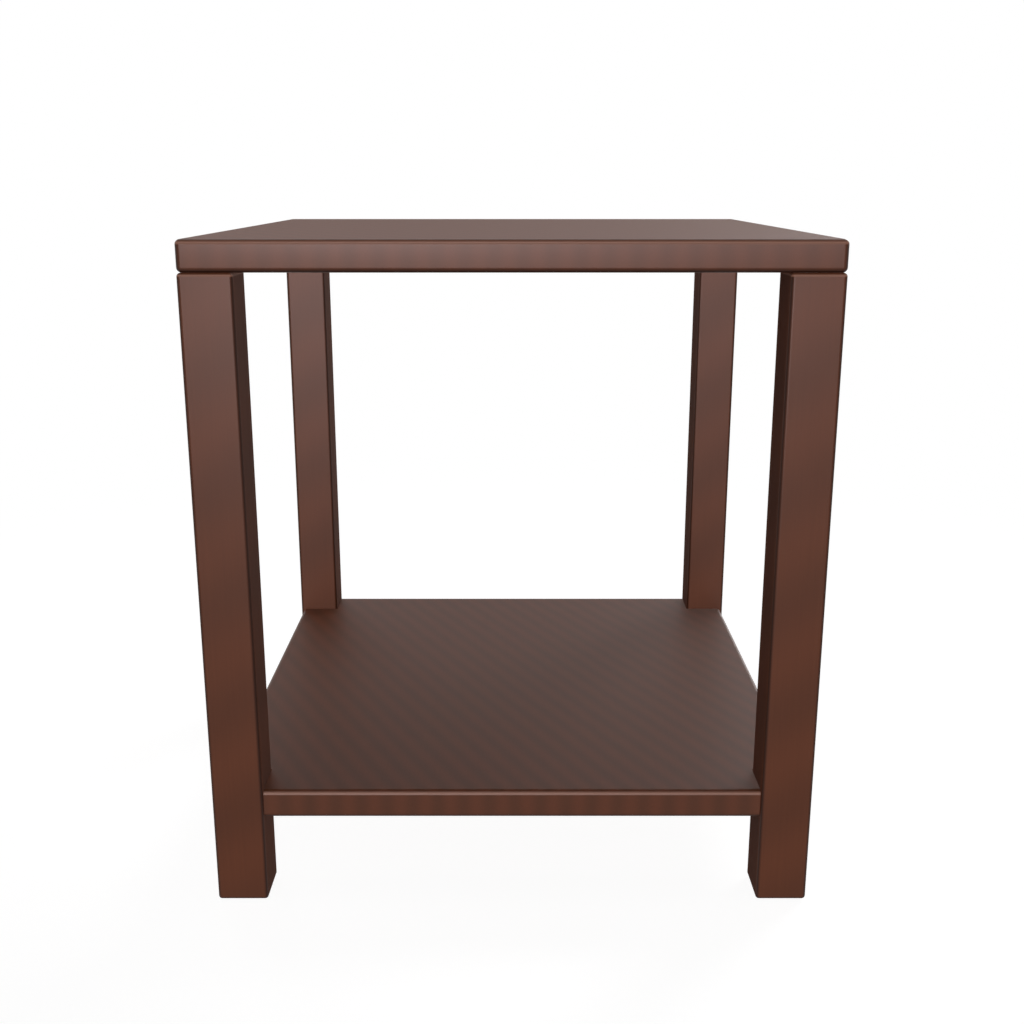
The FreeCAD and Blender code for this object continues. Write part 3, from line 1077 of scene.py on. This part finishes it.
@dataclass
class ShelfFixing:
    """One pressed bracket under the shelf and the two pairs of pan-head screws that hold it."""

    corner: Corner
    half_spacing: float = 9.0
    head_radius: float = 3.5
    head_height: float = 2.4
    rim_radius: float = 1.5
    core_radius: float = 1.4
    thread_radius: float = 2.0
    length: float = 15.0
    point: float = 3.0
    pitch: float = 1.6
    flank: float = 0.8
    recess_reach: float = 4.0
    recess_width: float = 1.0
    recess_depth: float = 1.6

    def turn_pair(self) -> bmesh.types.BMesh:
        """Makes two pan-head screws side by side, pointing up, with the seats of their heads at height zero.

        Returns:
            The shape.
        """
        shank_end = self.length - self.point
        rim_centre = (self.head_radius - self.rim_radius, self.rim_radius - self.head_height)
        outline = [
            (0, -self.head_height),
            *arc(rim_centre, self.rim_radius, -90, 0),
            (self.head_radius, 0),
            (self.core_radius, 0),
            (self.core_radius, shank_end),
            (0, self.length),
        ]
        face = -self.head_height
        recess = cross_recess(face, self.recess_reach, self.recess_width, self.recess_depth)
        screw = carve(lathe(outline), recess)
        Thread(
            core_radius=self.core_radius,
            crest_radius=self.thread_radius,
            pitch=self.pitch,
            start=self.pitch,
            end=self.length - self.pitch / 2,
            flank_width=self.flank,
            point_from=shank_end,
            point_to=self.length,
        ).wind_on(screw)
        pair = bmesh.new()
        for side in (-1, 1):
            add_shape(pair, screw, Matrix.Translation((side * self.half_spacing, 0, 0)))
        screw.free()
        return pair

    def leg_seat(self) -> Matrix:
        """Finds where the pair into the post sits.

        Returns:
            The turn that points the screws outwards and the place of their seats, in metres.
        """
        node = self.corner.node("leg_screws")
        outward = self.corner.value[1]
        seat = middle_of(node)
        inner_end = min(corner[1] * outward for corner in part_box(node)) * outward
        seat.y = inner_end + outward * self.head_height * MM
        return Matrix.Translation(seat) @ Matrix.Rotation(math.radians(-90 * outward), 4, "X")

    def shelf_seat(self) -> Matrix:
        """Finds where the pair into the shelf sits, pointing up.

        Returns:
            The place of the screws' seats, in metres.
        """
        node = self.corner.node("shelf_screws")
        seat = middle_of(node)
        seat.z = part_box(node)[0][2] + self.head_height * MM
        return Matrix.Translation(seat)

    def build(self, finishes: Finishes) -> None:
        """Dresses the bracket and makes its screws.

        Args:
            finishes: every finish.
        """
        dress(self.corner.node("shelf_bracket"), finishes.powder)
        for piece, seat in (("leg_screws", self.leg_seat()), ("shelf_screws", self.shelf_seat())):
            node = self.corner.node(piece)
            finish_piece(self.turn_pair(), f"{node}_cut", node, finishes.zinc, seat)


@dataclass(frozen=True)
class Lamp:
    """A soft lamp too far away to fade across the table.

    Azimuth counts from the front towards the right, and the spread is how wide the lamp looks, in degrees.
    A white card that faces the lamp shows its level. A fill throws no shadow, and gloss reflects no dull
    lamp.
    """

    azimuth: float
    elevation: float
    spread: float
    level: float
    is_fill: bool = False
    is_dull: bool = False

    def hang(self, name: str) -> None:
        """Hangs the lamp, turned to the table.

        Args:
            name: the lamp's name.
        """
        light = bpy.data.lights.new(name, "SUN")
        light.angle = math.radians(self.spread)
        light.energy = math.pi * self.level
        light.use_shadow = not self.is_fill
        lamp = bpy.data.objects.new(name, light)
        lamp.visible_glossy = not self.is_dull
        lamp.rotation_euler = (math.radians(90 - self.elevation), 0, math.radians(self.azimuth))
        bpy.context.scene.collection.objects.link(lamp)


@dataclass
class Studio:
    """Plain pale floor, soft white air, soft lamps and the camera."""

    camera_place: tuple[float, float, float] = (0.0, -1.2010, 0.6032)
    camera_dip: float = 15.0
    camera_field: float = 45.0
    floor_size: float = 12.0
    floor_colour: str = "#A0A0A0"
    floor_glow: float = 0.80
    shadow_reach: tuple[float, float] = (0.45, 1.5)
    air_level: float = 0.02
    lamps: dict[str, Lamp] = field(
        default_factory=lambda: {
            "key": Lamp(azimuth=0, elevation=0, spread=12, level=0.25, is_fill=True),
            "front_left": Lamp(azimuth=-10, elevation=0, spread=12, level=0.35, is_fill=True),
            "front_right": Lamp(azimuth=12, elevation=0, spread=14, level=0.19, is_fill=True),
            "front_above": Lamp(azimuth=-3, elevation=42, spread=24, level=0.24, is_fill=True),
            "overhead": Lamp(azimuth=0, elevation=85, spread=40, level=0.18, is_fill=True, is_dull=True),
            "back_right": Lamp(azimuth=150, elevation=18, spread=20, level=0.34, is_fill=True),
            "back_above": Lamp(azimuth=140, elevation=40, spread=20, level=0.18),
            "back_left": Lamp(azimuth=-150, elevation=18, spread=20, level=0.06),
            "left": Lamp(azimuth=-90, elevation=1.5, spread=3, level=0.25, is_dull=True),
            "right": Lamp(azimuth=90, elevation=1.5, spread=3, level=0.2, is_dull=True),
        }
    )

    def seen(self, tree: bpy.types.NodeTree) -> bpy.types.NodeSocket:
        """Makes an output that is one for camera, glossy and transmission rays.

        Args:
            tree: the node tree that gets the nodes.

        Returns:
            The output.
        """
        ray = add_node(tree, "LightPath")
        seen = ray.outputs["Is Camera Ray"]
        for other in ("Is Glossy Ray", "Is Transmission Ray"):
            either = add_node(tree, "Math", {"operation": "MAXIMUM"}, {0: seen, 1: ray.outputs[other]})
            seen = either.outputs[0]
        return seen

    def fill_air(self) -> None:
        """Makes the world: white to the eye and in reflections, and a weak even light."""
        world = bpy.data.worlds.new("studio_air")
        bpy.context.scene.world = world
        world.use_nodes = True
        tree = world.node_tree
        tree.nodes.clear()
        seen = self.seen(tree)
        level = add_node(tree, "MapRange", {"To Min": self.air_level, "To Max": 1.0}, {"Value": seen})
        air = add_node(tree, "Background", {"Color": (1, 1, 1, 1)}, {"Strength": level.outputs["Result"]})
        add_node(tree, "OutputWorld", links={"Surface": air.outputs["Background"]})

    def lay_floor(self) -> None:
        """Lays the floor at height zero. It keeps the table's shadow near the table and fades to white."""
        shape = bmesh.new()
        bmesh.ops.create_grid(shape, x_segments=1, y_segments=1, size=self.floor_size / 2)
        mesh = bpy.data.meshes.new("studio_floor")
        shape.to_mesh(mesh)
        shape.free()
        floor = bpy.data.objects.new("studio_floor", mesh)
        bpy.context.scene.collection.objects.link(floor)

        material = bpy.data.materials.new("white_paper")
        material.use_nodes = True
        tree = material.node_tree
        tree.nodes.clear()
        place = add_node(tree, "TexCoord")
        reach = add_node(tree, "VectorMath", {"operation": "LENGTH"}, {0: place.outputs["Object"]})
        fade = add_node(
            tree,
            "MapRange",
            {
                "interpolation_type": "SMOOTHSTEP",
                "From Min": self.shadow_reach[0],
                "From Max": self.shadow_reach[1],
            },
            {"Value": reach.outputs["Value"]},
        )
        seen = self.seen(tree)
        glow_level = add_node(tree, "Math", {"operation": "MULTIPLY", 1: self.floor_glow}, {0: seen})
        paper = add_node(tree, "BsdfDiffuse", {"Color": linear(self.floor_colour)})
        glow = add_node(tree, "Emission", links={"Strength": glow_level.outputs[0]})
        lit = add_node(tree, "AddShader", links={0: paper.outputs[0], 1: glow.outputs[0]})
        white = add_node(tree, "Emission", links={"Strength": seen})
        far_share = add_node(tree, "Math", {"operation": "MULTIPLY"}, {0: fade.outputs["Result"], 1: seen})
        surface = add_node(
            tree, "MixShader", links={0: far_share.outputs[0], 1: lit.outputs[0], 2: white.outputs[0]}
        )
        add_node(tree, "OutputMaterial", links={"Surface": surface.outputs[0]})
        mesh.materials.append(material)

    def hang_lamps(self) -> None:
        """Hangs every lamp."""
        for name, lamp in self.lamps.items():
            lamp.hang(name)

    def place_camera(self) -> None:
        """Places the camera."""
        lens = bpy.data.cameras.new("camera")
        lens.angle = math.radians(self.camera_field)
        stand = bpy.data.objects.new("camera", lens)
        stand.location = self.camera_place
        stand.rotation_euler = (math.radians(90 - self.camera_dip), 0, 0)
        bpy.context.scene.collection.objects.link(stand)
        bpy.context.scene.camera = stand

    def build(self) -> None:
        """Builds the whole studio."""
        bpy.context.scene.view_settings.view_transform = "Standard"
        self.fill_air()
        self.lay_floor()
        self.hang_lamps()
        self.place_camera()
        LOG.info("built the studio")


def main() -> None:
    """Builds the studio, then dresses the table from the top down."""
    logging.basicConfig(level=logging.INFO, format="%(message)s")
    Studio().build()
    finishes = Finishes()
    Boards().build(finishes)
    for corner in Corner:
        Post(corner).build(finishes)
        TopFixing(corner).build(finishes)
        ShelfFixing(corner).build(finishes)


if __name__ == "__main__":
    main()
